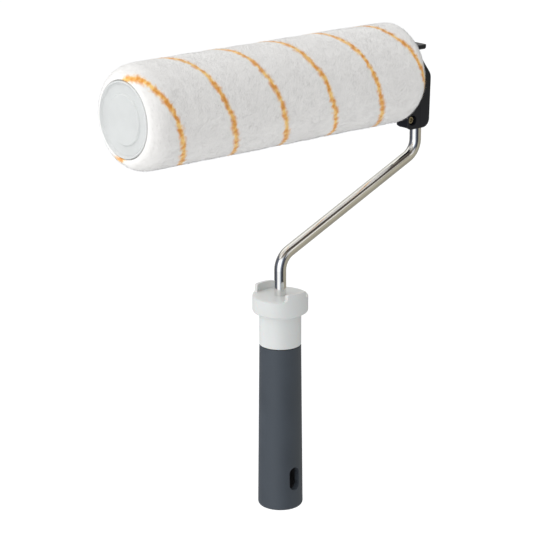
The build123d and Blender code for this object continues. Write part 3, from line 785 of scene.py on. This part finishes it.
class ROLLER_OT_sleeve(bpy.types.Operator):
    """Finishes the sleeve's hard parts: cap, core, bearing and plug"""

    bl_idname = "roller.sleeve"
    bl_label = "Sleeve"

    def execute(self, context):
        sleeve = context.scene.roller_sleeve
        cap, shader = moulding(
            "translucent cap", sleeve.cap, sleeve.cap_roughness, tone=0.03, tone_scale=60.0, grain=500.0,
            depth=0.00003,
        )
        shader.inputs["Subsurface Weight"].default_value = 0.35
        shader.inputs["Subsurface Radius"].default_value = (1.0, 1.0, 1.0)
        shader.inputs["Subsurface Scale"].default_value = 0.004
        wear(cap, "outer_end_cap", "inner_end_plug")
        wear(moulding("core tube", sleeve.core, 0.45, grain=700.0)[0], "sleeve_core", "outer_bearing")
        return {"FINISHED"}


class ROLLER_OT_rod(bpy.types.Operator):
    """Finishes the plated rod and the small steel parts"""

    bl_idname = "roller.rod"
    bl_label = "Rod and steel"

    def execute(self, context):
        rod = context.scene.roller_rod
        wear(plated("zinc plated rod", rod.plate, rod.plate_roughness, (1.0, 1.0, 0.05)), "frame_rod")
        wear(
            plated("spring steel", rod.steel, 0.28), "rod_cross_pin", "lever_pivot_pin", "lever_spring",
            "outboard_washer", "retaining_clip", "finger_spring",
        )
        wear(plated("passivated screw", rod.screw, 0.24, depth=0.00001), "clamp_screw", "barrel_nut")
        return {"FINISHED"}


class ROLLER_OT_casing(bpy.types.Operator):
    """Finishes the black casing, the lever, the ring and the hub's plastics"""

    bl_idname = "roller.casing"
    bl_label = "Casing and lever"

    def execute(self, context):
        casing = context.scene.roller_casing
        rough = casing.casing_roughness
        black, shader = moulding("black casing", casing.casing, rough, 0.15, 60.0, 1300.0, 0.00004, 0.06)
        shader.inputs["Specular IOR Level"].default_value = 0.32
        wear(black, "casing_body", "casing_cover")
        satin, shader = moulding("black lever", casing.casing, rough - 0.06, 0.12, 80.0, 1500.0, 0.00002)
        shader.inputs["Specular IOR Level"].default_value = 0.32
        wear(satin, "eject_lever", "ejector_ring")
        natural, shader = moulding("natural hub plastic", casing.hub, 0.30, 0.04, 50.0, 900.0)
        shader.inputs["Subsurface Weight"].default_value = 0.15
        shader.inputs["Subsurface Scale"].default_value = 0.002
        wear(natural, "carrier_hub", "axle_spacer", "axle_tip_guide")
        return {"FINISHED"}


class ROLLER_OT_handle(bpy.types.Operator):
    """Finishes the grip, the light collar and the pole socket"""

    bl_idname = "roller.handle"
    bl_label = "Handle"

    def execute(self, context):
        handle = context.scene.roller_handle
        grip, shader = moulding(
            "soft grip", handle.grip, handle.grip_roughness, 0.07, 35.0, 1600.0, handle.grip_grain, 0.06
        )
        shader.inputs["Sheen Weight"].default_value = 0.05
        wear(grip, "handle_grip")
        collar, shader = moulding("light collar", handle.collar, 0.38, 0.02, 40.0, 1100.0, 0.00002, 0.04)
        shader.inputs["Subsurface Weight"].default_value = 0.08
        shader.inputs["Subsurface Scale"].default_value = 0.002
        wear(collar, "handle_core")
        wear(moulding("dark liner", handle.liner, 0.5)[0], "pole_socket_liner")
        return {"FINISHED"}


class ROLLER_PT_panel(bpy.types.Panel):
    """Lists the roller's pieces and their settings"""

    bl_label = "Paint roller"
    bl_idname = "ROLLER_PT_panel"
    bl_space_type = "VIEW_3D"
    bl_region_type = "UI"
    bl_category = "Roller"

    def draw(self, context):
        for operator, settings in STEPS:
            box = self.layout.box()
            box.operator(operator.bl_idname)
            group = getattr(context.scene, settings)
            for key in group.bl_rna.properties.keys():
                if key not in ("rna_type", "name"):
                    box.prop(group, key)


SETTINGS = {
    "roller_stage": StageSettings,
    "roller_pile": PileSettings,
    "roller_sleeve": SleeveSettings,
    "roller_rod": RodSettings,
    "roller_casing": CasingSettings,
    "roller_handle": HandleSettings,
}
STEPS = (
    (ROLLER_OT_stage, "roller_stage"),
    (ROLLER_OT_pile, "roller_pile"),
    (ROLLER_OT_sleeve, "roller_sleeve"),
    (ROLLER_OT_rod, "roller_rod"),
    (ROLLER_OT_casing, "roller_casing"),
    (ROLLER_OT_handle, "roller_handle"),
)


def register():
    for key, kind in SETTINGS.items():
        bpy.utils.register_class(kind)
        setattr(bpy.types.Scene, key, PointerProperty(type=kind))
    for operator, _ in STEPS:
        bpy.utils.register_class(operator)
    bpy.utils.register_class(ROLLER_PT_panel)


def unregister():
    bpy.utils.unregister_class(ROLLER_PT_panel)
    for operator, _ in reversed(STEPS):
        bpy.utils.unregister_class(operator)
    for key, kind in reversed(SETTINGS.items()):
        delattr(bpy.types.Scene, key)
        bpy.utils.unregister_class(kind)


def main():
    """Makes everything in order."""
    register()
    for operator, _ in STEPS:
        family, name = operator.bl_idname.split(".")
        getattr(getattr(bpy.ops, family), name)()


if __name__ == "__main__":
    main()
